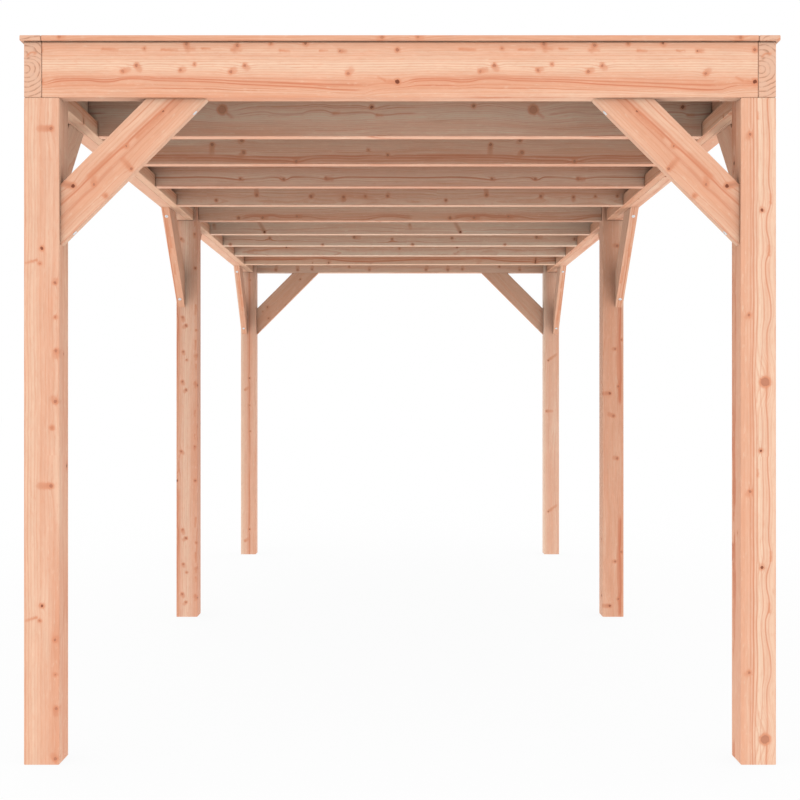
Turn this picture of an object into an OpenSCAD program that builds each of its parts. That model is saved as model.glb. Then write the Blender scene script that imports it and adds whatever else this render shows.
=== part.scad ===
// Garden canopy: an open, flat-roofed frame of planed timber on six posts.
// A ring of deep beams lies on the posts. Inside it, ledgers along the two
// sides carry the cross joists, and the joists carry a boarded deck under a
// rubber roof skin. Capping boards close the top of the ring, and angled
// braces stiffen every post against the beam above it.
//
// The origin is on the ground at the middle of the plan, and Z points up.
// X runs across the canopy and Y along it; the front end is towards -Y.
// All sizes are in millimetres.

/* [Plan and height] */
// Width over the outer faces of the side beams
frame_w = 2980; // [2400:10:3600]
// Length over the outer faces of the end beams
frame_l = 7000; // [5600:10:8400]
// Height from the ground to the underside of the ring beams
clear_h = 2644; // [2200:2:3000]

/* [Posts] */
// Side of a square post
post_s = 140; // [136:1:180]

/* [Ring beams and ledgers] */
// Thickness of a ring beam
beam_t = 70; // [55:1:85]
// Height of a ring beam
beam_h = 220; // [214:1:260]
// Thickness of the ledger fixed along the inside of a side beam
ledger_t = 45; // [35:1:50]
// Height of the ledger
ledger_h = 70; // [50:1:100]

/* [Joists] */
// Thickness of a joist
joist_t = 60; // [45:1:80]
// Height of a joist
joist_h = 180; // [130:1:190]
// From the outer face of an end beam to the middle of the nearest joist
joist_end = 780; // [400:5:1100]

/* [Braces] */
// Thickness of a brace
brace_t = 50; // [40:1:65]
// Width of a brace, measured square to its length
brace_w = 171; // [110:1:200]
// Reach of a brace along the post, and equally along the beam
brace_leg = 582; // [420:1:800]
// Set-back of the braces in the two ends behind the outer face of the ring
end_in = 20; // [0:1:60]
// Set-back of the braces along the sides behind the outer face of the ring
side_in = 7; // [0:1:20]

/* [Roof] */
// Thickness of the boarded roof deck
deck_t = 18; // [12:1:20]
// Thickness of the rubber roof skin
skin_t = 1.5; // [1:0.1:3]
// Thickness of a capping board
cap_t = 22; // [15:1:30]
// Width of a capping board
cap_w = 84; // [75:1:120]
// Overhang of the capping boards beyond the outer faces of the ring
cap_out = 14; // [5:1:30]

/* [Hidden] */
JOISTS = 9;
ENDS = ["front", "rear"];
SIDES = ["left", "right"];

timber = [0.91, 0.70, 0.58];
shaded_timber = [0.83, 0.63, 0.51];
deck_timber = [0.86, 0.68, 0.54];
rubber = [0.14, 0.14, 0.15];

// half sizes of the plan, out to the ring and in to its inner faces
out_x = frame_w / 2;
out_y = frame_l / 2;
in_x = out_x - beam_t;
in_y = out_y - beam_t;

// faces of the posts that look into the canopy
post_x = out_x - post_s;
post_y = out_y - post_s;

// levels, from the posts' shoulders up to the capping
ring_top = clear_h + beam_h;
ledger_top = clear_h + ledger_h;
joist_top = clear_h + joist_h;
deck_top = joist_top + deck_t;
cap_low = ring_top + skin_t;

// the joists share the length between the two outermost ones evenly, and
// the one in the middle stands between the middle posts
joist_pitch = (frame_l - 2 * joist_end) / (JOISTS - 1);
middle_joist = (JOISTS + 1) / 2;

// inner leg of a brace's mitred ends: its width takes this much off the reach
brace_short = brace_leg - brace_w * sqrt(2);

// a block between two opposite corners
module block(low, high) {
    translate(low)
        cube(high - low);
}

// copies a piece made at the right-hand rear into another quarter of the plan
module quarter(side, end) {
    mirror([side == "left" ? 1 : 0, 0, 0])
        mirror([0, end == "front" ? 1 : 0, 0])
            children();
}

// A post is cut away above the shoulder that carries the ring beams and the
// ledger; the tongue that is left stands behind them up to the deck. At a
// corner the end beam passes over the post as well.
module post(low_y, tongue_high_y) {
    color(timber) {
        block([post_x, low_y, 0], [out_x, low_y + post_s, clear_h]);
        block([post_x, low_y, clear_h], [in_x - ledger_t, tongue_high_y, joist_top]);
    }
}

module corner_post(side, end) {
    quarter(side, end)
        post(post_y, in_y);
}

module middle_post(side) {
    quarter(side, "rear")
        post(-post_s / 2, post_s / 2);
}

// The side beams run the full length and show their ends; the end beams
// stand between them.
module side_beam(side) {
    color(timber)
        quarter(side, "rear")
            block([in_x, -out_y, clear_h], [out_x, out_y, ring_top]);
}

module end_beam(end) {
    color(timber)
        quarter("right", end)
            block([-in_x, in_y, clear_h], [in_x, out_y, ring_top]);
}

module ledger(side) {
    color(shaded_timber)
        quarter(side, "rear")
            block([in_x - ledger_t, -in_y, clear_h], [in_x, in_y, ledger_top]);
}

// Joists are numbered from the front. Each reaches both side beams and is
// notched over the ledgers; the middle one butts against the middle posts.
module joist(number) {
    mid_y = -out_y + joist_end + (number - 1) * joist_pitch;
    low_y = mid_y - joist_t / 2;
    high_y = mid_y + joist_t / 2;
    bottom_x = number == middle_joist ? post_x : in_x - ledger_t;
    top_x = number == middle_joist ? post_x : in_x;
    color(shaded_timber) {
        block([-bottom_x, low_y, clear_h], [bottom_x, high_y, ledger_top]);
        block([-top_x, low_y, ledger_top], [top_x, high_y, joist_top]);
    }
}

// Side view of a brace, with the corner between post and beam at the origin
// and the brace spreading to +X and down.
module brace_outline() {
    polygon([
        [0, -brace_leg],
        [brace_leg, 0],
        [brace_short, 0],
        [0, -brace_short]
    ]);
}

// braces across the ends, from the corner posts in under the end beams
module end_brace(side, end) {
    color(timber)
        quarter(side, end)
            translate([post_x, out_y - end_in, clear_h])
                mirror([1, 0, 0])
                    rotate([90, 0, 0])
                        linear_extrude(brace_t)
                            brace_outline();
}

// braces along a side, just inside the outer faces, numbered from the front:
// 1 from the front post, 2 and 3 from the middle post, 4 from the rear post
module side_brace(side, number) {
    foot_y = number == 1 || number == 4 ? post_y : post_s / 2;
    inward = number == 1 || number == 4 ? 1 : 0;
    color(timber)
        quarter(side, number < 3 ? "front" : "rear")
            translate([out_x - side_in - brace_t, foot_y, clear_h])
                mirror([0, inward, 0])
                    rotate([90, 0, 90])
                        linear_extrude(brace_t)
                            brace_outline();
}

// boards on the joists, filling the ring from beam to beam
module roof_deck() {
    color(deck_timber)
        block([-in_x, -in_y, joist_top], [in_x, in_y, deck_top]);
}

// One sheet of rubber: flat on the deck, turned up against the inner faces of
// the ring, and folded out over its top to the outer faces, under the caps.
module roof_skin() {
    color(rubber)
        difference() {
            union() {
                block([-in_x, -in_y, deck_top], [in_x, in_y, cap_low]);
                block([-out_x, -out_y, ring_top], [out_x, out_y, cap_low]);
            }
            block(
                [skin_t - in_x, skin_t - in_y, deck_top + skin_t],
                [in_x - skin_t, in_y - skin_t, cap_low + skin_t]
            );
        }
}

// capping boards along the sides, over the full length
module side_cap(side) {
    color(timber)
        quarter(side, "rear")
            block(
                [out_x + cap_out - cap_w, -out_y - cap_out, cap_low],
                [out_x + cap_out, out_y + cap_out, cap_low + cap_t]
            );
}

// capping boards across the ends, butted between the ones along the sides
module end_cap(end) {
    half = out_x + cap_out - cap_w;
    color(timber)
        quarter("right", end)
            block(
                [-half, out_y + cap_out - cap_w, cap_low],
                [half, out_y + cap_out, cap_low + cap_t]
            );
}

for (end = ENDS, side = SIDES)
    corner_post(side, end);
for (side = SIDES)
    middle_post(side);
for (side = SIDES)
    side_beam(side);
for (end = ENDS)
    end_beam(end);
for (side = SIDES)
    ledger(side);
for (i = [1:JOISTS])
    joist(i);
for (end = ENDS, side = SIDES)
    end_brace(side, end);
for (side = SIDES, i = [1:4])
    side_brace(side, i);
roof_deck();
roof_skin();
for (side = SIDES)
    side_cap(side);
for (end = ENDS)
    end_cap(end);
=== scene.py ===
import math
import random

import bpy
from mathutils import Matrix, Vector


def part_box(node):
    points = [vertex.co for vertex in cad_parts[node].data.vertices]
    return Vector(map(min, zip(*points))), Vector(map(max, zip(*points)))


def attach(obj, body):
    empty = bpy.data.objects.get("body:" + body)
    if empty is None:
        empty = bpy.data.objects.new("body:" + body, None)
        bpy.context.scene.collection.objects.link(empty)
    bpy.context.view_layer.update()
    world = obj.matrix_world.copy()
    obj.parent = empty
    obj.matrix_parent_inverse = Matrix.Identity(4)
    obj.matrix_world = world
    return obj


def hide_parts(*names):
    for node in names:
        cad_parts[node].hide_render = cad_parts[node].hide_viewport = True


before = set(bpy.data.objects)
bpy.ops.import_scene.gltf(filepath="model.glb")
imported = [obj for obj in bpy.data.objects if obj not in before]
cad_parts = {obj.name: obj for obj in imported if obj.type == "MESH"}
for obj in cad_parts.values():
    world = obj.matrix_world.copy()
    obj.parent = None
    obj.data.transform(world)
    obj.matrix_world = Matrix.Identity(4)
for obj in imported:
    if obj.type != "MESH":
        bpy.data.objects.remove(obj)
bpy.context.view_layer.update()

# The camera stands on the long axis, level, in front of the -Y end.
CAMERA_DISTANCE = 5.024  # in front of the end beam's outer face
CAMERA_HEIGHT = 1.4457
CAMERA_LENS = 57.09
CAMERA_SENSOR = 36.0

ARRIS = 0.004            # rounding of every planed edge
BRACE_ARRIS = 0.002
FLOOR_REACH = 80.0
FLOOR_WHITE = 0.94       # the share of the floor that no shadow touches
BRANCH_RISE = 0.12       # how far a branch climbs for each metre outward
REPEAT = 1.4157          # after this length a timber's marks come again
MARK_DEPTH = 0.045       # how deep the marks on a front face reach
DEPTH_FADE = 0.020       # over which they fade there
TAIL = 0.35              # how dark a mark's tail is beside its heart
LINE_FADE = 0.05         # length over which a red line starts and ends
HALO_REACH = 0.007       # how far a mark reddens the wood round it
UNDER_DEEP = 0.010       # the undersides of the joists are rosier: this far
UNDER_HALF = 0.014       # below them lies a band with this half width
UNDER_ROSY = 0.6         # and this strength
JOIST_LINES = 1.5        # how much stronger the rings of a joist are drawn
QUIET = 0.35             # how strong chance lines are on a timber with marks
CALM = (-1.395, -1.425)  # across the front left post, the rings fade between
JOINT_SHADE = 0.6         # how dark the painted shade is in the joints at the ends of the front beam, under the front capping, and of the capping
EDGE_PATCHES = 5         # on the narrow faces of a side brace
UPRIGHT_ACROSS = -4.196  # moves the front beam's figure, turned upright, to
UPRIGHT_UP = 0.898       # the middle left post

BOARDS = 24              # across the roof
BOARD_V = 0.003          # chamfer at each lower edge of a board
BOARD_FIT = 0.0004       # play on each side of a board, and of its tongue
TONGUE = 0.005
TONGUE_OUT = 0.006
GROOVE_PLAY = 0.001      # how much deeper than its tongue a groove is

SCREW_INSET = 0.072      # from a brace's tip, along its underside
SCREW_STEPS = 36         # points round the head
# rings of the head: radius, height above the wood, depth of the lobes
SCREW_FLANGE = ((0.0060, -0.0010, 0), (0.0106, -0.0010, 0), (0.0110, 0.0004, 0),
                (0.0108, 0.0011, 0), (0.0098, 0.0017, 0), (0.0072, 0.0026, 0),
                (0.0060, 0.0033, 0), (0.0045, 0.0036, 0))
SCREW_RECESS = ((0.0045, 0.0036, 0), (0.0028, 0.0036, 0.16), (0.0028, 0.0014, 0.16))

# planed Douglas fir, as linear colours
SALMON = (0.880, 0.500, 0.335, 1)
CREAM = (0.965, 0.690, 0.500, 1)
ROSE = (0.830, 0.385, 0.230, 1)
LATE_FAINT = (0.800, 0.370, 0.215, 1)
LATE_STRONG = (0.700, 0.235, 0.120, 1)
KNOT_HALO = (0.755, 0.290, 0.155, 1)
KNOT_RIM = (0.570, 0.225, 0.130, 1)
KNOT_HEART = (0.240, 0.066, 0.030, 1)
END_PALE = (0.860, 0.530, 0.375, 1)
END_LINE = (0.520, 0.255, 0.165, 1)
END_RING = 0.019         # width of a ring on a sawn end
CURL = (0.022, -0.054)   # from the pith to the curl on a sawn end

WHITE = (1, 1, 1, 1)
STEEL = (0.86, 0.86, 0.87, 1)
STEEL_BRIGHT = (0.94, 0.94, 0.95, 1)
RUBBER = (0.020, 0.020, 0.022, 1)
RUBBER_PALE = (0.034, 0.034, 0.035, 1)
RUBBER_DUST = (0.085, 0.080, 0.074, 1)

X = Vector((1, 0, 0))
Y = Vector((0, 1, 0))
Z = Vector((0, 0, 1))


class Signal:
    """A shader value. Sums and products of signals add math nodes."""

    def __init__(self, tree, socket):
        self.tree = tree
        self.socket = socket

    def __abs__(self):
        return self.tree.calc("ABSOLUTE", self)


def math_method(operation, turned=False):
    """The method behind one of Python's operators, for signals."""
    def method(self, other):
        values = (other, self) if turned else (self, other)
        return self.tree.calc(operation, *values)
    return method


for sign, operation in (("add", "ADD"), ("sub", "SUBTRACT"), ("mul", "MULTIPLY"),
                        ("truediv", "DIVIDE"), ("pow", "POWER")):
    setattr(Signal, "__" + sign + "__", math_method(operation))
    setattr(Signal, "__r" + sign + "__", math_method(operation, turned=True))


class Tree:
    """Short calls that add shader nodes to a material or a node group."""

    def __init__(self, tree):
        self.tree = tree

    def add(self, kind, **settings):
        node = self.tree.nodes.new(kind)
        for name, value in settings.items():
            setattr(node, name, value)
        return node

    def feed(self, socket, value):
        """Links a socket to a signal or another socket, or gives it a constant."""
        if isinstance(value, Signal):
            value = value.socket
        if isinstance(value, bpy.types.NodeSocket):
            self.tree.links.new(value, socket)
        else:
            socket.default_value = value

    def fill(self, node, values, output=0):
        """Feeds a node's inputs in their order, and gives the signal that it makes."""
        for socket, value in zip(node.inputs, values):
            self.feed(socket, value)
        return Signal(self, node.outputs[output])

    def wire(self, node, **values):
        """Feeds a node's inputs by name, with _ for a space, and gives its outputs."""
        for name, value in values.items():
            self.feed(node.inputs[name.replace("_", " ")], value)
        return [Signal(self, socket) for socket in node.outputs]

    def calc(self, operation, *values, clamp=False):
        return self.fill(self.add("ShaderNodeMath", operation=operation, use_clamp=clamp), values)

    def ramp(self, value, low, high, start=0.0, end=1.0):
        """A smooth step from start to end as value goes from low to high."""
        node = self.add("ShaderNodeMapRange", interpolation_type="SMOOTHSTEP")
        return self.fill(node, (value, low, high, start, end))

    def fall(self, value, low, high):
        return self.ramp(value, low, high, 1.0, 0.0)

    def most(self, first, second):
        return self.calc("MAXIMUM", first, second)

    def mix(self, share, first, second, blend="MIX"):
        node = self.add("ShaderNodeMix", data_type="RGBA", blend_type=blend)
        for place, value in ((0, share), (6, first), (7, second)):
            self.feed(node.inputs[place], value)
        return Signal(self, node.outputs[2])

    def split(self, vector):
        return self.wire(self.add("ShaderNodeSeparateXYZ"), Vector=vector)

    def join(self, x, y=0.0, z=0.0):
        return self.fill(self.add("ShaderNodeCombineXYZ"), (x, y, z))

    def vector(self, operation, *values, output="Vector"):
        node = self.add("ShaderNodeVectorMath", operation=operation)
        return self.fill(node, values, output)

    def scale(self, vector, factor):
        node = self.add("ShaderNodeVectorMath", operation="SCALE")
        return self.wire(node, Vector=vector, Scale=factor)[0]

    def dot(self, vector, direction):
        return self.vector("DOT_PRODUCT", vector, direction, output="Value")

    def length(self, vector):
        return self.vector("LENGTH", vector, output="Value")

    def place(self):
        """A point's place in the object's own coordinates."""
        return self.add("ShaderNodeTexCoord").outputs["Object"]

    def noise(self, vector, scale=1.0, detail=2.0, roughness=0.5, seed=0.0):
        node = self.add("ShaderNodeTexNoise", noise_dimensions="4D")
        return self.wire(node, Vector=vector, W=seed, Scale=scale, Detail=detail,
                         Roughness=roughness)[0]

    def chance(self, **place):
        """White noise, as one value and as a colour."""
        dimensions = "1D" if "W" in place else "2D"
        node = self.add("ShaderNodeTexWhiteNoise", noise_dimensions=dimensions)
        return self.wire(node, **place)

    def drift(self, size, vector, **settings):
        """Noise about zero, with this size from its least to its most."""
        return (self.noise(vector, **settings) - 0.5) * size

    def bump(self, **values):
        return self.wire(self.add("ShaderNodeBump"), **values)[0]

    def group(self, group, **values):
        return self.wire(self.add("ShaderNodeGroup", node_tree=group), **values)


def new_group(name, vectors, floats, results):
    """An empty node group whose sockets have these names.

    Gives the group, its tree, its inputs as signals, and the node that takes
    its results.
    """
    group = bpy.data.node_groups.new(name, "ShaderNodeTree")
    for names, kind, way in ((vectors, "Vector", "INPUT"), (floats, "Float", "INPUT"),
                             (results, "Float", "OUTPUT")):
        for socket in names.split():
            group.interface.new_socket(
                socket.replace("_", " "), in_out=way,
                socket_type="NodeSocket" + (socket if socket == "Color" else kind))
    tree = Tree(group)
    given = [Signal(tree, socket) for socket in tree.add("NodeGroupInput").outputs[:-1]]
    return group, tree, given, tree.add("NodeGroupOutput")


# what a knot does to the wood: how far its rings bulge, how dark and how red it is
KNOT = "Bulge Core Halo"


def hypotenuse(t, a, b):
    return t.calc("SQRT", a ** 2.0 + b ** 2.0)


def bell(t, distance, width):
    ratio = distance / width
    return t.calc("EXPONENT", ratio * ratio * -1.0)


def knot_group():
    """One knot: a branch that leaves the pith sideways, in grain coordinates.

    X runs along the grain from the pith line, and Toward is the direction of
    the branch across it. The rings bulge round the branch, and Core and Halo
    say how dark and how reddened the wood is there.
    """
    group, t, given, made = new_group(
        "knot", "Vector", "Along Toward_Y Toward_Z Radius " + KNOT, KNOT)
    vector, start, toward_y, toward_z, radius, bulge, core, halo = given
    u, v, w = t.split(vector)
    out = v * toward_y + w * toward_z
    across = w * toward_y - v * toward_z
    along = u - start - out * BRANCH_RISE
    ragged = t.drift(1.1, vector, scale=90.0)
    along = along / radius + ragged
    across = across / radius + ragged
    side = t.ramp(out, 0.0, 0.02)

    def falloff(length, width):
        """A bell round the branch, length and width in radii."""
        squares = (along / length) ** 2.0 + (across / width) ** 2.0
        return t.calc("EXPONENT", squares * -1.0) * side

    distance = hypotenuse(t, along, across)
    dark = t.ramp(radius, 0.004, 0.009, 0.45, 0.95)
    heart = t.fall(distance, 0.35, 1.35) * (side * dark)
    swell = falloff(5.0, 2.4) * (radius * 1.2)
    t.wire(made, Bulge=bulge + swell, Core=t.most(core, heart),
           Halo=t.most(halo, falloff(2.6, 1.8)))
    return group


def beside_way(t, place, start, way, radius):
    """A point's place from the start of a way, its distance from the way in
    radii, and a strength that falls toward the way's end."""
    off = t.vector("SUBTRACT", place, start)
    reach = t.most(t.dot(way, way), 1e-8)
    share = t.calc("DIVIDE", t.dot(off, way), reach, clamp=True)
    beside = t.vector("SUBTRACT", off, t.scale(way, share))
    near = t.length(beside) / radius
    return off, near, 1.0 - share * 0.4


def patch_group():
    """A reddish patch on a face, as long as its Way."""
    group, t, (*mark, halo), made = new_group("patch", "Place From Way", "Radius Halo", "Halo")
    _, near, weaker = beside_way(t, *mark)
    t.wire(made, Halo=t.most(halo, bell(t, near, 1.4) * weaker))
    return group


def mark_group():
    """One mark on a face: a knot, with a tail where its branch was cut slantwise.

    Place and From are points along and across the grain and Way leads from
    the knot to the end of its tail. Dark says how dark the heart is and Tail
    how dark the tail.
    """
    group, t, given, made = new_group(
        "mark", "Place From Way", "Radius Dark Tail " + KNOT, KNOT)
    place, start, way, radius, dark, tail, bulge, core, halo = given
    off, near, weaker = beside_way(t, place, start, way, radius)
    at = t.length(off) / radius
    rim = bell(t, at - 0.8, 0.12) * dark
    heart = t.fall(at, 0.64, 1.04) * dark + rim * 0.5
    tail = bell(t, near, 1.0) * (tail * weaker)
    outside = t.most(near - 1.0, 0.0) * radius
    red = bell(t, outside, HALO_REACH) * weaker
    stretched = t.vector("MULTIPLY", off, (0.2, 0.42, 0))
    swell = bell(t, t.length(stretched), radius) * (radius * 1.2)
    swell = swell * t.calc("MINIMUM", dark * 3.0, 1.0)
    t.wire(made, Bulge=bulge + swell, Core=t.most(core, t.most(heart, tail)),
           Halo=t.most(halo, red))
    return group


def whorl_group(knot):
    """Three branches at each of many places along a stem, all by chance."""
    group, t, (vector, seed, pitch), made = new_group("whorls", "Vector", "Seed Pitch", KNOT)
    u, v, w = t.split(vector)
    cell = t.calc("FLOOR", u / pitch)
    within = u - (cell + 0.5) * pitch
    bulge, core, halo = 0.0, 0.0, 0.0
    for branch, (least, most) in enumerate(((0.0055, 0.0095), (0.0045, 0.0085), (0.0025, 0.0045))):
        _, chance = t.chance(Vector=t.join(cell, seed + branch * 1.7))
        turn, place, size = t.split(chance)
        turn = turn * (2 * math.pi)
        place = (place - 0.5) * (pitch * (0.25 if branch < 2 else 0.5))
        bulge, core, halo = t.group(
            knot, Vector=t.join(within, v, w), Along=place, Toward_Y=t.calc("COSINE", turn),
            Toward_Z=t.calc("SINE", turn), Radius=t.ramp(size, 0.0, 1.0, least, most),
            Bulge=bulge, Core=core, Halo=halo)
    t.wire(made, Bulge=bulge, Core=core, Halo=halo)
    return group


def ring_field(t, u, v, w, width, seed, wave, bend, bulge):
    """Which growth ring a point lies in, as a number that grows outward."""
    w = w - bend
    wander = t.drift(0.075, t.join(u * 1.6, v * 3.5, w * 3.5), seed=seed, detail=1.5)
    ripple = t.drift(0.009, t.join(u * 7.0, v * 30.0, w * 30.0), seed=seed)
    radius = hypotenuse(t, v, w)
    radius = radius + (wander * wave + ripple) - bulge
    # good and bad years make the rings wider and narrower
    years = t.drift(2.2, t.join(radius * 38.0), seed=seed, detail=1.0)
    return radius / width + years, radius


def curve(t, value, points):
    """A smooth curve through (value, result) points, level beyond its ends."""
    first, last = points[0][0], points[-1][0]
    low = min(result for _, result in points) - 0.002
    high = max(result for _, result in points) + 0.002
    node = t.add("ShaderNodeFloatCurve")
    bends = node.mapping.curves[0].points
    shares = [((at - first) / (last - first), (result - low) / (high - low))
              for at, result in points]
    bends[0].location, bends[-1].location = shares[0], shares[-1]
    for share in shares[1:-1]:
        bends.new(*share)
    node.mapping.update()
    share = t.calc("DIVIDE", value - first, last - first, clamp=True)
    return t.wire(node, Value=share)[0] * (high - low) + low


def closed_course(course, start):
    """A course whose two ends meet, so that its repeats join."""
    if start is None:
        return course
    before, after = course[0][0] - start, start + REPEAT - course[-1][0]
    share = after / (before + after)
    meet = course[-1][1] + share * (course[0][1] - course[-1][1])
    return [(start, meet), *course, (start + REPEAT, meet)]


def line_figure(t, u, v, w, bulge, look):
    """Red lines beside each other that wander along a timber.

    Gives their strength and how far the grain bends with them.
    """
    seed = look.seed + 21
    near = t.join(u * 5.5)
    if look.course:
        middle = curve(t, u, closed_course(look.course, look.start))
        level = sum(place for _, place in look.course) / len(look.course)
        start, stop = look.course[0][0], look.course[-1][0]
        ends = 1.0
        if stop - start < REPEAT - LINE_FADE:
            ends = t.ramp(u, start, start + LINE_FADE) * t.fall(u, stop - LINE_FADE, stop)
        ends = ends * t.fall(abs(v - look.face), MARK_DEPTH - DEPTH_FADE, MARK_DEPTH)
        middle = middle + t.drift(0.005, near, seed=seed)
    else:
        level = look.streak
        far = t.join(u * 1.5)
        middle = level + t.drift(-0.05, far, seed=seed, detail=1.0)
        middle = middle + t.drift(-0.012, near, seed=seed)
        ends = t.ramp(t.noise(t.join(u * 1.2, 9.0), seed=seed), 0.3, 0.5)
    lean = (v - look.face) * look.lean
    away = w + lean - middle
    sway = middle - level
    bend = sway * bell(t, away, 0.03)
    away = away - bulge * 0.8
    lines = 0.0
    for offset, share in look.beside:
        part = t.noise(t.join(u * 3.1, 40 * offset), seed=seed, detail=1.0)
        apart = offset + (part - 0.5) * 0.008
        calmer = math.exp(-abs(offset) / 0.025) - 1
        apart = apart + sway * calmer
        line = bell(t, away - apart, look.line_width)
        lines = t.most(lines, line * t.ramp(part, 0.25, 0.5, 0.3, share))
    return lines * (ends * look.figure), bend


def band_field(t, u, w, bands):
    """Soft bands along a timber, each a place across, a half width and a strength."""
    w = w + t.drift(0.02, t.join(u * 1.7, 3.0), detail=1.0)
    field = 0.0
    for place, half, share in bands:
        field = t.most(field, bell(t, w - place, half) * share)
    return field


def end_grain(t, v, w, radius, cloud, seed):
    """A sawn end: thin uneven rings, and a reddish curl round a branch's root."""
    lobes = t.noise(t.join(v * 14.0, w * 14.0), seed=seed, detail=3.0) - 0.5
    across = (v - CURL[0]) / 0.015
    up = (w - CURL[1]) / 0.009 + (across * 0.5 + lobes * 3.0)
    lens = hypotenuse(t, across, up)
    ring = radius + bell(t, lens, 1.6) * 0.01 + lobes * 0.02
    share = t.calc("FRACT", ring / END_RING)
    late = t.ramp(share, 0.55, 0.9) * t.fall(share, 0.93, 1.0)
    wood = t.mix(t.ramp(cloud, 0.35, 0.7), END_PALE, SALMON)
    wood = t.mix(late * t.ramp(cloud, 0.35, 0.6, 0.2, 0.85), wood, END_LINE)
    rim = bell(t, lens - 1.0, 0.45) * t.ramp(up, 1.3, -0.6)
    wood = t.mix(rim * 0.75, wood, KNOT_HALO)
    foot = bell(t, across + 0.8, 0.45) * bell(t, up - 0.9, 0.45)
    return t.mix(foot * 0.8, wood, END_LINE)


def wood_group():
    """Planed softwood, in grain coordinates with the pith line along X."""
    group, t, given, made = new_group(
        "planed_softwood", "Vector",
        "Ring_Width Seed Warmth Wave Lines Streaks Bend Rosy Creamy Bulge Core Halo End",
        "Color Roughness Height")
    (vector, width, seed, warmth, wave, lines, streaks, bend, rosy, creamy,
     bulge, core, halo, end) = given
    u, v, w = t.split(vector)
    ring, radius = ring_field(t, u, v, w, width, seed, wave, bend, bulge)

    # each ring darkens slowly into its latewood line and then starts pale
    # again, and a few years in each timber left a much redder line
    share = t.calc("FRACT", ring)
    late = (t.ramp(share, 0.3, 0.88) * t.fall(share, 0.9, 1.0)) ** 1.6
    year, color = t.chance(Vector=t.join(t.calc("FLOOR", ring), seed))
    fade = t.ramp(t.noise(t.join(u * 1.5, ring * 0.5), seed=seed + 6.3), 0.36, 0.6)
    strong = t.ramp(year, 0.55, 0.9) * fade
    faint = t.ramp(color, 0.0, 1.0, 0.22, 0.6)

    # broad bands of redder and creamier wood, a few rings wide
    bands = t.noise(t.join(ring * 0.22, u * 0.9), seed=seed + 3.7, detail=3.0, roughness=0.6)
    red = t.ramp(bands, 0.47, 0.66) * warmth
    cream = t.ramp(bands, 0.5, 0.34) * 0.7
    red = red * t.calc("SUBTRACT", 1.0, creamy, clamp=True)
    cream = cream * t.calc("SUBTRACT", 1.0, rosy, clamp=True)
    red = t.most(red, rosy)
    cream = t.most(cream, creamy)
    strong = strong * t.ramp(creamy, 0.0, 1.0, 1.0, 0.15)

    # threads and pores that follow the grain
    thread = t.noise(t.join(u * 3.2, radius * 130.0, (v + w) * 35.0),
                     seed=seed, detail=4.0, roughness=0.65)
    fibre = t.noise(t.join(u * 16.0, v * 560.0, w * 560.0), seed=seed)
    fleck = t.noise(t.join(u * 30.0, radius * 150.0, (v + w) * 40.0),
                    seed=seed + 4.9, detail=3.0, roughness=0.6)
    cloud = t.noise(t.join(u * 9.0, v * 34.0, w * 34.0),
                    seed=seed + 9.1, detail=4.0, roughness=0.65)

    wood = t.mix(red, SALMON, ROSE)
    wood = t.mix(cream * 0.75, wood, CREAM)
    drawn = late * t.most(faint, strong)
    line = t.mix(strong, LATE_FAINT, LATE_STRONG)
    wood = t.mix(t.calc("MULTIPLY", drawn, lines, clamp=True), wood, line)
    wood = t.mix(t.ramp(thread, 0.49, 0.80, 0.0, 0.65), wood, LATE_FAINT)
    wood = t.mix(t.ramp(fleck, 0.50, 0.78, 0.0, 0.50), wood, ROSE)
    wood = t.mix(t.ramp(fleck, 0.46, 0.24, 0.0, 0.40), wood, CREAM)
    wood = t.mix(streaks * 0.95, wood, LATE_STRONG)
    wood = t.mix(halo * 0.85, wood, KNOT_HALO)
    knot_wood = t.mix(t.ramp(core, 0.50, 1.0), KNOT_RIM, KNOT_HEART)
    wood = t.mix(t.ramp(core, 0.0, 0.55), wood, knot_wood)
    shade = 0.855 + (fibre * 0.12 + cloud * 0.18)
    wood = t.mix(1.0, wood, t.join(shade, shade, shade), blend="MULTIPLY")

    wood = t.mix(end, wood, end_grain(t, v, w, radius, cloud, seed))
    t.wire(made, Color=wood, Roughness=0.68 - late * 0.1 + end * 0.2,
           Height=late * 0.6 + fibre * 0.5 - core * 0.4)
    return group


PATCH = patch_group()
MARK = mark_group()
WHORLS = whorl_group(knot_group())
WOOD = wood_group()


def across_grain(grain):
    """Two directions square to the grain; the second crosses the face that shows."""
    side = grain.cross(Z if abs(grain.z) < 0.9 else X).normalized()
    if min(abs(grain.y), abs(grain.z)) > 0.1:
        return grain.cross(side), side
    return side, grain.cross(side)


class Stick:
    """Where a timber's grain runs, and where its pith lies."""

    def __init__(self, start, grain, pith):
        """start is on the timber's middle line, pith the way from it across."""
        self.axes = Matrix((grain, *across_grain(grain)))
        self.grain = grain
        self.origin = start + pith

    def local(self, point):
        return self.axes @ (point - self.origin)

    def mirror(self):
        """The same wood on the other side of the canopy's middle."""
        self.origin.x = -self.origin.x
        self.grain = Vector((-self.grain.x, self.grain.y, self.grain.z))
        for axis in self.axes:
            axis.x = -axis.x

    def on_face(self, x, z, face):
        """Place along and across the grain of a point on the front face."""
        u, _, w = self.local(Vector((x, face, z)))
        return u, w


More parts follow.
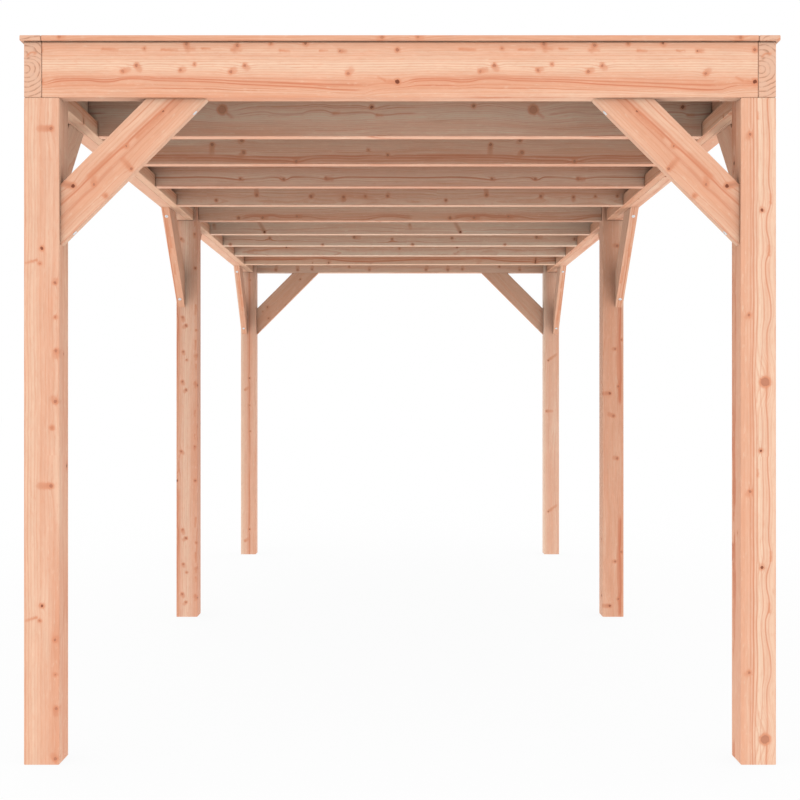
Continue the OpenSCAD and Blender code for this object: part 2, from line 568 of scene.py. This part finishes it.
class Look:
    """What sets one timber's wood apart from the next one's."""

    wave = 1.0
    tint = (1, 1, 1)
    face = 0.0
    depth = MARK_DEPTH
    lean = 0.35
    start = None
    course = ()
    beside = ((0.0, 1.0), (0.016, 0.8))
    line_width = 0.0028
    calm = None
    joint_shade = 0.0

    def __init__(self, chance, middle, reach):
        """middle and reach are the timber's middle and half its size across the grain."""
        self.seed = chance.uniform(0, 50)
        self.ring_width = chance.uniform(0.0085, 0.0115)
        self.warmth = chance.uniform(0.5, 1.0)
        self.lines = chance.uniform(0.6, 1.0)
        self.streak = middle + chance.uniform(-0.8, 0.8) * reach
        self.figure = chance.uniform(0.5, 1.0)
        self.pitch = chance.uniform(0.34, 0.48)
        self.marks = []
        self.rosy = ((self.streak - 0.020, 0.035, 0.6 * self.figure),)
        self.creamy = ((self.streak + 0.060, 0.030, self.figure),)


def grain_mapping(t, stick):
    """Object coordinates from the pith, turned so that X runs along the grain."""
    from_pith = t.vector("SUBTRACT", t.place(), stick.origin)
    return t.join(*(t.dot(from_pith, axis) for axis in stick.axes))


def knot_fields(t, local, look, seed):
    """Bulge, core and halo of the knots: whorls by chance, and on a front
    face that has marks of its own, those marks instead."""
    chance = t.group(WHORLS, Vector=local, Seed=seed, Pitch=look.pitch)
    if not look.marks:
        return chance
    u, v, w = t.split(local)
    ragged = t.drift(0.010, local, scale=90.0)
    place = t.join(along_marks(t, u, look) + ragged, w + ragged)
    bulge, core, halo = 0.0, 0.0, 0.0
    for start, way, radius, dark, tail in look.marks:
        if dark:
            bulge, core, halo = t.group(
                MARK, Place=place, From=start, Way=way, Radius=radius, Dark=dark,
                Tail=tail, Bulge=bulge, Core=core, Halo=halo)
        else:
            (halo,) = t.group(PATCH, Place=place, From=start, Way=way, Radius=radius,
                              Halo=halo)
    near = t.fall(abs(v - look.face), look.depth - DEPTH_FADE, look.depth)
    return [marks * near + other * (1.0 - near)
            for marks, other in zip((bulge, core, halo), chance)]


def along_marks(t, u, look):
    """The place along a timber within one repeat of its marks."""
    if look.start is None:
        return u
    return t.calc("WRAP", u, look.start + REPEAT, look.start)


def new_material(name):
    """A material, its tree and its Principled shader."""
    material = bpy.data.materials.new(name)
    material.use_nodes = True
    return material, Tree(material.node_tree), material.node_tree.nodes["Principled BSDF"]


def timber_material(name, stick, look, local=None, seed=None):
    """Wood for one timber. Where its boards differ, local and seed are
    functions that give a point's place and seed."""
    material, t, shader = new_material(name)
    local, seed = (local(t), seed(t)) if local else (grain_mapping(t, stick), look.seed)
    bulge, core, halo = knot_fields(t, local, look, seed)
    u, v, w = t.split(local)
    streaks, bend = line_figure(t, along_marks(t, u, look), v, w, bulge, look)
    lines = look.lines
    if look.calm:
        lines = t.ramp(w, look.calm[0], look.calm[1], 0.3 * look.lines, look.lines)
    facing = t.dot(t.add("ShaderNodeNewGeometry").outputs["Normal"], stick.grain)
    end = t.ramp(abs(facing), 0.85, 0.98)
    color, rough, height = t.group(
        WOOD, Vector=local, Ring_Width=look.ring_width, Seed=seed, Warmth=look.warmth,
        Wave=look.wave, Lines=lines, Streaks=streaks, Bend=bend,
        Rosy=band_field(t, u, w, look.rosy), Creamy=band_field(t, u, w, look.creamy),
        Bulge=bulge, Core=core, Halo=halo, End=end)
    # the timber's tint: its own tone, and on the shaded joists, rear beam and rear posts a painted
    # shade colour
    color = t.mix(1.0, color, (*look.tint, 1), blend="MULTIPLY")
    # painted shade: the ends of the front beam and capping, and the arrises there, darkened where
    # they meet the side timbers
    if look.joint_shade:
        arris = t.ramp(abs(facing), 0.05, 0.45) * look.joint_shade
        color = t.mix(arris, color, KNOT_HEART)
    t.wire(shader, Base_Color=color, Roughness=rough, Specular_IOR_Level=0.25,
           Normal=t.bump(Height=height, Strength=0.35, Distance=0.0006))
    return material


def soften(node, width):
    """Rounds the arrises of a CAD timber, whose own mesh stays as it is."""
    weld = node.modifiers.new("weld", "WELD")
    weld.merge_threshold = 1e-5
    flat = node.modifiers.new("flat faces", "DECIMATE")
    flat.decimate_type = "DISSOLVE"
    flat.angle_limit = math.radians(1)
    arris = node.modifiers.new("arrises", "BEVEL")
    arris.width = width
    arris.segments = 3
    arris.limit_method = "ANGLE"
    arris.angle_limit = math.radians(30)


def grain_of(name):
    """The direction in which a named timber's grain runs."""
    if name.startswith("post"):
        return Z
    if name.startswith("end_brace"):
        return Vector((1 if name.endswith("left") else -1, 0, 1)).normalized()
    if name.startswith("side_brace"):
        return Vector((0, 1 if name[-1] in "13" else -1, 1)).normalized()
    if name.startswith("joist") or name.endswith(("front", "rear")):
        return X
    return Y


# What each timber's colour is multiplied by: its own tone, and on the joists, the rear beam and the
# rear posts, which lie in the roof's shade, also a painted paler, cooler shade colour.
TINTS = dict(
    beam_front=(1.03, 1.02, 1.02), beam_rear=(1.05, 1.14, 1.21),
    ledger_left=(0.94, 0.89, 0.84), ledger_right=(0.94, 0.89, 0.84),
    joist_1=(1.1, 1.17, 1.23), joist_2=(1.04, 1.09, 1.13),
    joist_3=(0.99, 0.97, 0.99), joist_4=(0.96, 0.94, 0.95),
    joist_5=(0.98, 1.02, 1.05), joist_6=(1.07, 1.3, 1.44),
    joist_7=(1.06, 1.21, 1.3), joist_8=(1.07, 1.18, 1.26),
    joist_9=(1.05, 1.04, 1.03), post_front_left=(1, 0.98, 0.98),
    post_front_right=(1.03, 1.06, 1.08), post_middle_left=(0.97, 0.93, 0.94),
    post_middle_right=(0.96, 0.91, 0.9), post_rear_left=(1.02, 1.07, 1.13),
    post_rear_right=(1.05, 1.14, 1.22),
)

# Marks that show from the front: on the timber's front face the place across
# and up, the radius, how dark the heart is, and the way to the tail's end if
# there is a tail. With no heart the mark is a patch. A timber's marks come
# again after REPEAT.
MARKS = dict(
    beam_front=[
        (-1.426, 2.706, 0.0095, 1), (-1.426, 2.832, 0.0065, 0.6),
        (-1.44, 2.706, 0.005, 0, -0.03, 0.002), (-1.474, 2.71, 0.0042, 0, -0.026, 0.013),
        (-1.179, 2.836, 0.0045, 0, 0.06, -0.004), (-1.098, 2.748, 0.006, 0.35, 0.022, 0.006),
        (-1.043, 2.77, 0.0068, 0.55, 0.01, -0.014), (-1.012, 2.838, 0.003, 0.5),
        (-0.944, 2.833, 0.004, 0, 0.06, 0), (-0.869, 2.752, 0.0058, 0.4, 0.012, 0.003),
        (-0.846, 2.856, 0.0065, 0.5, 0.006, -0.022), (-0.845, 2.838, 0.005, 0, 0.03, -0.002),
        (-0.814, 2.775, 0.0035, 0.4), (-0.783, 2.837, 0.0035, 0, 0.03, 0),
        (-0.67, 2.746, 0.0065, 0.5, 0.014, 0.006), (-0.645, 2.85, 0.0065, 0.55, -0.01, -0.02),
        (-0.665, 2.832, 0.0055, 0, 0.035, 0), (-0.615, 2.77, 0.006, 0.5, 0.01, -0.01),
        (-0.511, 2.856, 0.004, 0.45), (-0.475, 2.83, 0.0042, 0, 0.035, -0.002),
        (-0.374, 2.858, 0.0055, 0.7, 0.004, -0.004), (-0.318, 2.829, 0.003, 0, 0.03, 0),
        (-0.238, 2.828, 0.0032, 0.7, 0.02, 0), (-0.205, 2.738, 0.0062, 0.45, 0.012, 0.013),
    ],
    cap_front=[
        (-1.345, 2.88, 0.006, 0.35, 0.012, 0), (-0.071, 2.878, 0.007, 0.4, -0.012, -0.006),
    ],
    post_front_left=[
        (-1.382, 2.521, 0.0075, 0.5, -0.045, 0), (-1.418, 2.046, 0.006, 0.85),
        (-1.427, 1.987, 0.003, 0.5), (-1.44, 2, 0.0045, 0, -0.04, -0.012),
        (-1.366, 1.911, 0.0055, 0.55, 0.003, 0.008), (-1.365, 1.774, 0.0035, 0.45),
        (-1.362, 1.64, 0.0065, 0.45, 0, -0.02), (-1.365, 1.44, 0.0075, 0.5, -0.008, 0.012),
        (-1.378, 1.336, 0.006, 0.2),
    ],
    post_front_right=[
        (1.386, 2.499, 0.0055, 0.6, -0.008, -0.012), (1.434, 2.198, 0.0065, 0.85, 0, 0.004),
        (1.382, 1.782, 0.0055, 0.55, -0.008, -0.006), (1.446, 1.517, 0.0195, 0.42),
        (1.429, 1.245, 0.0055, 0.85), (1.468, 2.225, 0.004, 0, 0, 0.035),
        (1.462, 2.02, 0.0045, 0, 0, 0.035), (1.417, 2.56, 0.0035, 0, 0, 0.025),
    ],
    end_brace_front_left=[
        (-1.3, 2.297, 0.0085, 1, -0.05, 0.012), (-1.217, 2.303, 0.0058, 0.5, -0.002, 0.026),
        (-1.088, 2.455, 0.0045, 0.6), (-1.069, 2.365, 0.006, 0.6, -0.032, 0.036),
        (-0.941, 2.594, 0.0045, 0.75, -0.05, -0.05), (-1.171, 2.258, 0.006, 0.22),
        (-1.235, 2.335, 0.0085, 0, 0.085, 0.085), (-1.045, 2.491, 0.0055, 0, 0.158, 0.147),
    ],
    joist_1=[
        (-1.08, 2.784, 0.0075, 0.62), (-0.809, 2.767, 0.0205, 0.3),
        (-0.795, 2.757, 0.006, 0, 0.03, -0.024), (-0.301, 2.75, 0.006, 0, 0.022, 0.002),
        (-0.129, 2.779, 0.0085, 0.75), (-0.105, 2.742, 0.006, 0, 0.024, 0),
    ],
    joist_2=[
        (-0.955, 2.745, 0.008, 0.62, -0.004, -0.046), (-0.805, 2.766, 0.009, 0.4, -0.006, -0.006),
        (-0.795, 2.705, 0.0085, 0.4, -0.024, -0.028), (-0.528, 2.66, 0.008, 0.5, 0.006, 0.008),
        (-0.062, 2.691, 0.0065, 0.55), (-0.161, 2.718, 0.0045, 0.35),
    ],
    joist_3=[
        (-0.898, 2.689, 0.006, 0.45, 0.01, -0.002), (-0.655, 2.688, 0.0065, 0.45, -0.012, 0.004),
        (-0.415, 2.691, 0.007, 0.28, 0.03, -0.002),
    ],
    joist_4=[
        (-1.132, 2.676, 0.0065, 0.55), (-0.883, 2.708, 0.0085, 0.45, -0.002, 0.033),
        (-0.548, 2.7, 0.0085, 0.48, 0.01, 0.01), (-0.347, 2.695, 0.008, 0.52, 0, -0.018),
        (-0.213, 2.7, 0.005, 0.42), (-0.076, 2.703, 0.007, 0.48, 0.003, 0.008),
    ],
    joist_5=[
        (-1.081, 2.665, 0.009, 0.5), (-0.92, 2.667, 0.009, 0.4, 0.025, 0),
        (-0.69, 2.675, 0.008, 0.35, 0.025, 0),
    ],
    joist_6=[
        (-0.98, 2.661, 0.009, 1, -0.036, 0.066), (-1.346, 2.711, 0.007, 0.25, 0.006, -0.024),
    ],
    joist_7=[
        (-1.318, 2.654, 0.009, 0.5), (-1.012, 2.703, 0.0085, 0.58), (-0.601, 2.653, 0.007, 0.42),
        (-0.355, 2.71, 0.0105, 0.55, 0.035, 0), (-0.061, 2.696, 0.008, 0.5),
    ],
    joist_8=[(-0.943, 2.713, 0.0065, 0.7), (-0.004, 2.704, 0.0065, 0.35)],
    post_middle_right=[
        (1.398, 1.49, 0.008, 0.7, -0.039, 0), (1.422, 1.34, 0.0085, 0.45, -0.028, 0.011),
        (1.447, 1.057, 0.008, 0.5, -0.018, 0.004), (1.433, 1.786, 0.0065, 0.5, -0.01, 0),
        (1.456, 1.536, 0.007, 0.55), (1.474, 1.848, 0.006, 0.5),
    ],
    post_rear_left=[
        (-1.41, 1.651, 0.007, 0.7), (-1.405, 1.153, 0.007, 0.55), (-1.41, 1.397, 0.0065, 0.45),
        (-1.449, 1.543, 0.007, 0.15, 0.03, 0.02),
    ],
    post_rear_right=[
        (1.39, 1.817, 0.007, 0.65, 0.072, 0.055), (1.374, 1.342, 0.008, 0.4, 0.049, 0),
    ],
    beam_rear=[
        (-1.17, 2.672, 0.0105, 0.4, 0.008, 0.028), (-0.965, 2.672, 0.0105, 0.4, 0, 0.028),
        (-0.829, 2.678, 0.009, 0.4, 0.004, 0.022), (-0.479, 2.702, 0.008, 0.5),
        (-0.288, 2.672, 0.009, 0.35, 0, 0.022),
    ],
)
# Where one repeat of a timber's marks starts, along its grain.
STARTS = dict(
    post_middle_left=1.034, post_middle_right=0.9, post_rear_left=0.75,
    post_rear_right=0.95, beam_front=-1.551, cap_front=-1.38,
    post_front_left=1.226, post_front_right=1.221,
    joist_1=-1.316, joist_2=-1.08, joist_3=-1.15, joist_4=-1.19, joist_5=-1.2,
    joist_6=-1.38, joist_7=-1.37, joist_8=-1.2, joist_9=-1, beam_rear=-1.25,
)
# The courses of red lines on front faces, as places across and up.
COURSES = dict(
    beam_front=[
        (-1.4, 2.702), (-1.25, 2.711), (-1.17, 2.706), (-1.07, 2.717), (-0.95, 2.711),
        (-0.78, 2.706), (-0.61, 2.696), (-0.36, 2.684), (-0.14, 2.674),
    ],
    post_front_right=[
        (1.456, 2.634), (1.465, 2.45), (1.461, 2.317), (1.468, 2.246), (1.451, 2.143),
        (1.463, 2.048), (1.448, 1.976), (1.469, 1.794), (1.453, 1.699), (1.469, 1.517),
        (1.457, 1.4), (1.458, 1.225),
    ],
    end_brace_front_left=[
        (-1.46, 2.115), (-1.368, 2.201), (-1.207, 2.355), (-1.097, 2.46), (-0.952, 2.594),
        (-0.898, 2.643), (-0.803, 2.731),
    ],
    joist_1=[
        (-0.76, 2.753), (-0.634, 2.756), (-0.542, 2.745), (-0.451, 2.748), (-0.359, 2.763),
        (-0.291, 2.75), (-0.144, 2.756), (-0.089, 2.742), (0, 2.75), (0.095, 2.752),
    ],
    joist_2=[
        (-1.075, 2.68), (-0.88, 2.676), (-0.778, 2.67), (-0.641, 2.665), (-0.539, 2.664),
        (-0.47, 2.669), (-0.366, 2.677), (-0.23, 2.672), (-0.161, 2.676), (0.15, 2.678),
        (0.33, 2.68),
    ],
    joist_3=[
        (-1.145, 2.7), (-0.99, 2.695), (-0.898, 2.688), (-0.784, 2.69), (-0.686, 2.698),
        (-0.655, 2.688), (-0.594, 2.7), (-0.405, 2.691), (-0.292, 2.698), (0, 2.697),
        (0.262, 2.698),
    ],
    joist_5=[
        (-1.08, 2.667), (-0.879, 2.682), (-0.777, 2.669), (-0.673, 2.675), (-0.518, 2.658),
        (-0.304, 2.652), (-0.175, 2.664), (-0.064, 2.675), (0.1, 2.664),
    ],
    joist_9=[
        (-0.98, 2.69), (-0.775, 2.689), (-0.751, 2.698), (-0.345, 2.67), (0.177, 2.687),
        (0.4, 2.688),
    ],
    post_middle_right=[(1.47, 1.4), (1.472, 1.6), (1.469, 1.85), (1.47, 2.1)],
    post_rear_left=[
        (-1.41, 0.76), (-1.407, 1.05), (-1.411, 1.3), (-1.408, 1.5), (-1.411, 1.75), (-1.408, 1.95),
        (-1.41, 2.15),
    ],
)
# Other lines that run beside a course: how far across, and how strong.
BESIDE = dict(
    beam_front=((0, 1), (-0.0105, 0.9), (-0.021, 0.5)),
    post_front_right=((0, 0.75), (0.022, 0.45), (0.046, 0.6), (0.06, 0.8), (0.071, 0.5)),
    end_brace_front_left=((0, 1), (-0.012, 0.45), (0.027, 0.5), (0.034, 0.4)),
    joist_1=((0, 0.75), (-0.026, 0.3)),
    joist_2=((0, 1), (-0.013, 1), (0.012, 0.6)),
    joist_3=((0, 1),),
    joist_5=((0, 0.9), (-0.012, 0.7)),
    joist_9=((0, 1), (-0.014, 0.6)),
    post_middle_right=((0, 1), (0.006, 1), (0.013, 0.6)),
    post_rear_left=((0, 1), (0.012, 0.4)),
)
# Bands of rosy and of creamy wood: place (across a post, up on the others),
# half width and strength.
ROSY = dict(
    beam_front=((2.845, 0.014, 0.45), (2.692, 0.026, 0.8)),
    post_front_left=(),
    post_front_right=((1.345, 0.04, 0.6),),
    joist_2=((2.668, 0.02, 0.6),),
    joist_4=((2.668, 0.012, 0.6),),
)
CREAMY = dict(
    beam_front=((2.771, 0.03, 1),),
    post_front_left=((-1.455, 0.03, 0.7),),
    post_front_right=((1.425, 0.024, 1), (1.475, 0.02, 0.7)),
    joist_2=(),
)
# Where the pith of some timbers lies from their middle: across, back and up.
PITHS = dict(
    beam_front=(0, 0.04, 0.3),
    beam_left=(-0.027, 0, 0.003),
    beam_right=(-0.026, 0, 0.003),
    post_front_left=(0.24, 0.03, 0),
    post_front_right=(-0.2, 0.035, 0),
    end_brace_front_left=(-0.16, 0.05, 0.16),
)
# What else is set for some timbers, by the names in Look.
OWN = dict(
    beam_front=dict(lines=1.3, wave=0.15, ring_width=0.01),
    beam_left=dict(wave=0.2, ring_width=0.0125),
    beam_right=dict(wave=0.2, ring_width=0.0125),
    post_front_left=dict(lines=1.3, wave=0.4, ring_width=0.0125),
    post_front_right=dict(lines=1, wave=0.2, ring_width=0.011),
    end_brace_front_left=dict(wave=0.1, line_width=0.0045),
    joist_1=dict(line_width=0.0038),
    joist_2=dict(line_width=0.0055),
    joist_3=dict(line_width=0.0045),
    joist_5=dict(line_width=0.0055),
    joist_9=dict(line_width=0.0075),
    post_middle_right=dict(line_width=0.0055),
    post_rear_left=dict(line_width=0.006),
)
MIRRORED = dict(end_brace_front_right="end_brace_front_left")


def whole(mark):
    """A mark with its tail, which has no length where it is left out."""
    return (*mark, 0, 0)[:6]


def upright(x, z):
    """Where the front beam's figure comes again on the middle left post."""
    return z + UPRIGHT_ACROSS, UPRIGHT_UP - x


MARKS["post_middle_left"] = [
    (*upright(x, z), radius, dark, dz, -dx)
    for x, z, radius, dark, dx, dz in map(whole, MARKS["beam_front"])
]
COURSES["post_middle_left"] = [upright(x, z) for x, z in COURSES["beam_front"]]
BESIDE["post_middle_left"] = BESIDE["beam_front"]
for bands in (ROSY, CREAMY):
    bands["post_middle_left"] = [(upright(0, z)[0], half, share)
                                 for z, half, share in bands["beam_front"]]


def chance_pith(grain, chance):
    """The pith outside the timber, so that its faces show fairly even lines."""
    side, other = across_grain(grain)
    far = chance.choice((-1, 1)) * chance.uniform(0.06, 0.20)
    return other * far + side * chance.uniform(-0.05, 0.05)


def own_figure(look, stick, name, front):
    """Puts the marks, lines and bands of a named timber into its look."""
    stands = abs(stick.grain.z) > 0.9

    def place_across(place):
        return stick.on_face(*((place, 0) if stands else (0, place)), front)[1]

    if name in MARKS or name in COURSES:
        look.face = stick.local(Vector((0, front, 0))).y
    for x, z, radius, dark, dx, dz in map(whole, MARKS.get(name, ())):
        start = Vector((*stick.on_face(x, z, front), 0))
        end = Vector((*stick.on_face(x + dx, z + dz, front), 0))
        look.marks.append((start, end - start, radius, dark, TAIL * dark if dx or dz else 0.0))
    if name in STARTS:
        start = STARTS[name]
        look.start = stick.on_face(start, start, front)[0]
    if name in COURSES:
        look.course = sorted(stick.on_face(x, z, front) for x, z in COURSES[name])
        look.beside = BESIDE[name]
        look.figure = 1.0
    elif name in MARKS:
        look.figure *= QUIET
    elif name.startswith("side_brace"):
        look.figure, look.ring_width, look.line_width, look.lean = 1.0, 0.007, 0.003, 0.0
    for setting, value in OWN.get(name, {}).items():
        setattr(look, setting, value)
    for bands, kind in ((ROSY, "rosy"), (CREAMY, "creamy")):
        if name in bands:
            setattr(look, kind, [(place_across(place), half, share)
                                 for place, half, share in bands[name]])
    if name.startswith("joist"):
        look.lines *= JOIST_LINES
        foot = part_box(name)[0].z
        look.rosy = (*look.rosy, (place_across(foot - UNDER_DEEP), UNDER_HALF, UNDER_ROSY))
    if name == "post_front_left":
        look.calm = [place_across(place) for place in CALM]
    # the front beam and capping get painted shade in their end joints
    if name in ("beam_front", "cap_front"):
        look.joint_shade = JOINT_SHADE


def edge_patches(look, chance, middle, size):
    """Red patches on the narrow faces of a side brace, which are seen from below."""
    look.depth = size.z
    for _ in range(EDGE_PATCHES):
        place = chance.uniform(-0.5, 0.4) * size.z
        across = middle.z + chance.uniform(-0.3, 0.3) * size.x
        way = Vector((chance.uniform(0.03, 0.15), chance.uniform(-0.1, 0.1) * size.x, 0))
        look.marks.append((Vector((place, across, 0)), way, chance.uniform(0.003, 0.007), 0, 0))


def wear(node, material):
    """Gives a CAD node this material and no other."""
    node.data.materials.clear()
    node.data.materials.append(material)


def dress_timber(name, node):
    """Gives a timber its wood; a mirrored one copies the one it pairs with."""
    pattern = MIRRORED.get(name, name)
    low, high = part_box(pattern)
    grain = grain_of(pattern)
    chance = random.Random(pattern)
    size = high - low
    pith = chance_pith(grain, chance)
    if pattern in PITHS:
        pith = Vector(PITHS[pattern])
    stick = Stick((low + high) / 2, grain, pith)
    middle = stick.local((low + high) / 2)
    look = Look(chance, middle.z, 0.5 * min(size.z if grain.z < 0.1 else size.x, 0.2))
    look.face = middle.y
    if pattern.startswith("side_brace"):
        edge_patches(look, chance, middle, size)
    look.tint = TINTS.get(name, look.tint)
    own_figure(look, stick, pattern, low.y)
    if pattern != name:
        stick.mirror()
    wear(node, timber_material("timber_" + name, stick, look))
    soften(node, BRACE_ARRIS if "brace" in name else ARRIS)


def new_object(name, data):
    thing = bpy.data.objects.new(name, data)
    bpy.context.scene.collection.objects.link(thing)
    return thing


def mesh_piece(name, points, faces, material):
    mesh = bpy.data.meshes.new(name)
    mesh.from_pydata([tuple(point) for point in points], [], faces)
    mesh.materials.append(material)
    mesh.validate()
    mesh.update()
    return new_object(name, mesh)


def extrude(points, faces, outline, start, end):
    """Adds a prism between two copies of an outline of (x, z) points."""
    first = len(points)
    count = len(outline)
    points += [(x, start, z) for x, z in outline] + [(x, end, z) for x, z in outline]
    faces += [(first + i, first + (i + 1) % count, first + count + (i + 1) % count,
               first + count + i) for i in range(count)]
    faces.append(tuple(first + i for i in reversed(range(count))))
    faces.append(tuple(first + count + i for i in range(count)))


def board_outline(left, right, bottom, top, tongue, groove):
    """Section of a tongued board: a V at each lower edge, square on top."""
    middle, half, slot = (bottom + top) / 2, TONGUE / 2, TONGUE / 2 + BOARD_FIT
    tip, deep = right + TONGUE_OUT, left + TONGUE_OUT + GROOVE_PLAY
    left, right = left + BOARD_FIT, right - BOARD_FIT
    outline = [(right - BOARD_V, bottom), (right, bottom + BOARD_V)]
    if tongue:
        outline += [(right, middle - half), (tip, middle - half),
                    (tip, middle + half), (right, middle + half)]
    outline += [(right, top), (left, top)]
    if groove:
        outline += [(left, middle + slot), (deep, middle + slot),
                    (deep, middle - slot), (left, middle - slot)]
    return outline + [(left, bottom + BOARD_V), (left + BOARD_V, bottom)]


def deck_material(stick, start, pitch):
    """Wood whose every board, across X, has a pith, knots and seed of its own."""
    look = Look(random.Random("deck"), 0.0, 0.05)
    look.figure, look.warmth, look.pitch, look.streak = 0.35, 0.7, 0.52, 0.0
    look.rosy = look.creamy = ()

    def cell_of(t):
        x, _, _ = t.split(t.place())
        return t.calc("FLOOR", (x - start) / pitch)

    def seed_of(t):
        return cell_of(t) * 3.17

    def local_of(t):
        u, v, w = t.split(grain_mapping(t, stick))
        cell = cell_of(t)
        first, second, third = t.split(t.chance(W=cell)[1])
        v = v - (cell + 0.5) * pitch + t.ramp(first, 0.0, 1.0, -0.05, 0.05)
        w = w + t.ramp(second, 0.0, 1.0, 0.02, 0.09)
        return t.join(u + third * 5.0, v, w)

    return timber_material("timber_deck", stick, look, local=local_of, seed=seed_of)


def add_deck():
    """The roof boards, tongued into each other, in place of the plain deck."""
    low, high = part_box("roof_deck")
    pitch = (high.x - low.x) / BOARDS
    points, faces = [], []
    for i in range(BOARDS):
        left = low.x + i * pitch
        outline = board_outline(left, left + pitch, low.z, high.z, i < BOARDS - 1, i > 0)
        extrude(points, faces, outline, low.y, high.y)
    stick = Stick(Vector((low.x, 0, (low.z + high.z) / 2)), Y, Vector())
    piece = mesh_piece("deck_boards", points, faces, deck_material(stick, low.x, pitch))
    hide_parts("roof_deck")
    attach(piece, "root")


def steel_material():
    material, t, shader = new_material("screw_steel")
    spot = t.noise(t.place(), 900.0, detail=3.0)
    t.wire(shader, Base_Color=t.mix(spot, STEEL, STEEL_BRIGHT),
           Roughness=t.ramp(spot, 0.2, 0.8, 0.3, 0.5), Metallic=0.85)
    return material


def turn_rings(points, faces, seat, rings):
    """Joins rings round the seat's Z axis, round ones or six-lobed ones."""
    first = len(points)
    for radius, height, lobes in rings:
        for i in range(SCREW_STEPS):
            turn = 2 * math.pi * i / SCREW_STEPS
            reach = radius * (1 + lobes * math.cos(6 * turn))
            points.append(seat @ Vector((reach * math.cos(turn), reach * math.sin(turn), height)))
    for row in range(len(rings) - 1):
        for i in range(SCREW_STEPS):
            a = first + row * SCREW_STEPS + i
            b = first + row * SCREW_STEPS + (i + 1) % SCREW_STEPS
            faces.append((a, b, b + SCREW_STEPS, a + SCREW_STEPS))


def screw_seats(name):
    """Where the two screws of a brace sit on its underside, and which way."""
    low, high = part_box(name)
    rise = grain_of(name)
    outward = Vector((rise.x, rise.y, -rise.z))
    axis = 0 if name.startswith("end") else 1
    foot = (low + high) / 2
    foot.z = low.z
    foot[axis] = low[axis] if rise[axis] > 0 else high[axis]
    length = (high.z - low.z) * math.sqrt(2)
    for along in (SCREW_INSET, length - SCREW_INSET):
        place = foot + rise * along
        turn = outward.to_track_quat("Z", "Y").to_matrix().to_4x4()
        yield Matrix.Translation(place) @ turn


def add_screws(braces):
    """A flange-head screw near both ends of each brace, driven from below."""
    points, faces = [], []
    for name in braces:
        for seat in screw_seats(name):
            turn_rings(points, faces, seat, SCREW_FLANGE)
            turn_rings(points, faces, seat, SCREW_RECESS)
            faces.append(tuple(range(len(points) - SCREW_STEPS, len(points))))
    piece = mesh_piece("brace_screws", points, faces, steel_material())
    smooth = piece.modifiers.new("weld", "WELD")
    smooth.merge_threshold = 1e-6
    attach(piece, "root")


def dress_skin(node):
    """Black roof rubber, dusty where water stood on it."""
    material, t, shader = new_material("roof_rubber")
    place = t.place()
    pond = t.noise(place, 1.7, detail=5.0, roughness=0.6)
    dust = t.noise(place, 60.0, detail=4.0, roughness=0.7)
    grey = t.mix(t.ramp(dust, 0.35, 0.75), RUBBER, RUBBER_PALE)
    grey = t.mix(t.ramp(pond, 0.5, 0.72) * 0.5, grey, RUBBER_DUST)
    wrinkle = t.noise(place, 2.3, detail=3.0)
    t.wire(shader, Base_Color=grey, Roughness=t.ramp(pond, 0.3, 0.7, 0.52, 0.72),
           Specular_IOR_Level=0.35,
           Normal=t.bump(Height=wrinkle + dust * 0.03, Strength=0.5, Distance=0.01))
    wear(node, material)


def add_floor():
    """A white floor that keeps a light shadow and is white to the camera."""
    bpy.ops.mesh.primitive_plane_add(size=2 * FLOOR_REACH)
    floor = bpy.context.object
    floor.name = "floor"
    material, t, shader = new_material("floor_white")
    t.tree.nodes.remove(shader)
    diffuse = t.wire(t.add("ShaderNodeBsdfDiffuse"), Color=WHITE)[0]
    white = t.add("ShaderNodeEmission").outputs[0]
    path = t.add("ShaderNodeLightPath").outputs
    seen = t.most(path["Is Camera Ray"],
                  t.most(path["Is Glossy Ray"], path["Is Transmission Ray"]))
    mixed = t.fill(t.add("ShaderNodeMixShader"), (seen * FLOOR_WHITE, diffuse, white))
    t.wire(t.tree.nodes["Material Output"], Surface=mixed)
    floor.data.materials.append(material)
    # the studio is as white below the floor as above it
    floor.visible_diffuse = False
    floor.visible_shadow = False


def light_scene():
    scene = bpy.context.scene
    world = bpy.data.worlds.new("white_room")
    world.use_nodes = True
    t = Tree(world.node_tree)
    t.wire(t.tree.nodes["Background"], Color=WHITE, Strength=1.0)
    scene.world = world
    scene.cycles.diffuse_bounces = 0
    scene.view_settings.view_transform = "Standard"


def place_camera():
    camera = bpy.data.cameras.new("camera")
    camera.lens = CAMERA_LENS
    camera.sensor_width = CAMERA_SENSOR
    seat = new_object("camera", camera)
    seat.location = (0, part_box("beam_front")[0].y - CAMERA_DISTANCE, CAMERA_HEIGHT)
    seat.rotation_euler = (math.pi / 2, 0, 0)
    bpy.context.scene.camera = seat


place_camera()
light_scene()
add_floor()
for name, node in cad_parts.items():
    if name not in ("roof_deck", "roof_skin"):
        dress_timber(name, node)
dress_skin(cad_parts["roof_skin"])
add_deck()
add_screws([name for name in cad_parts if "brace" in name])
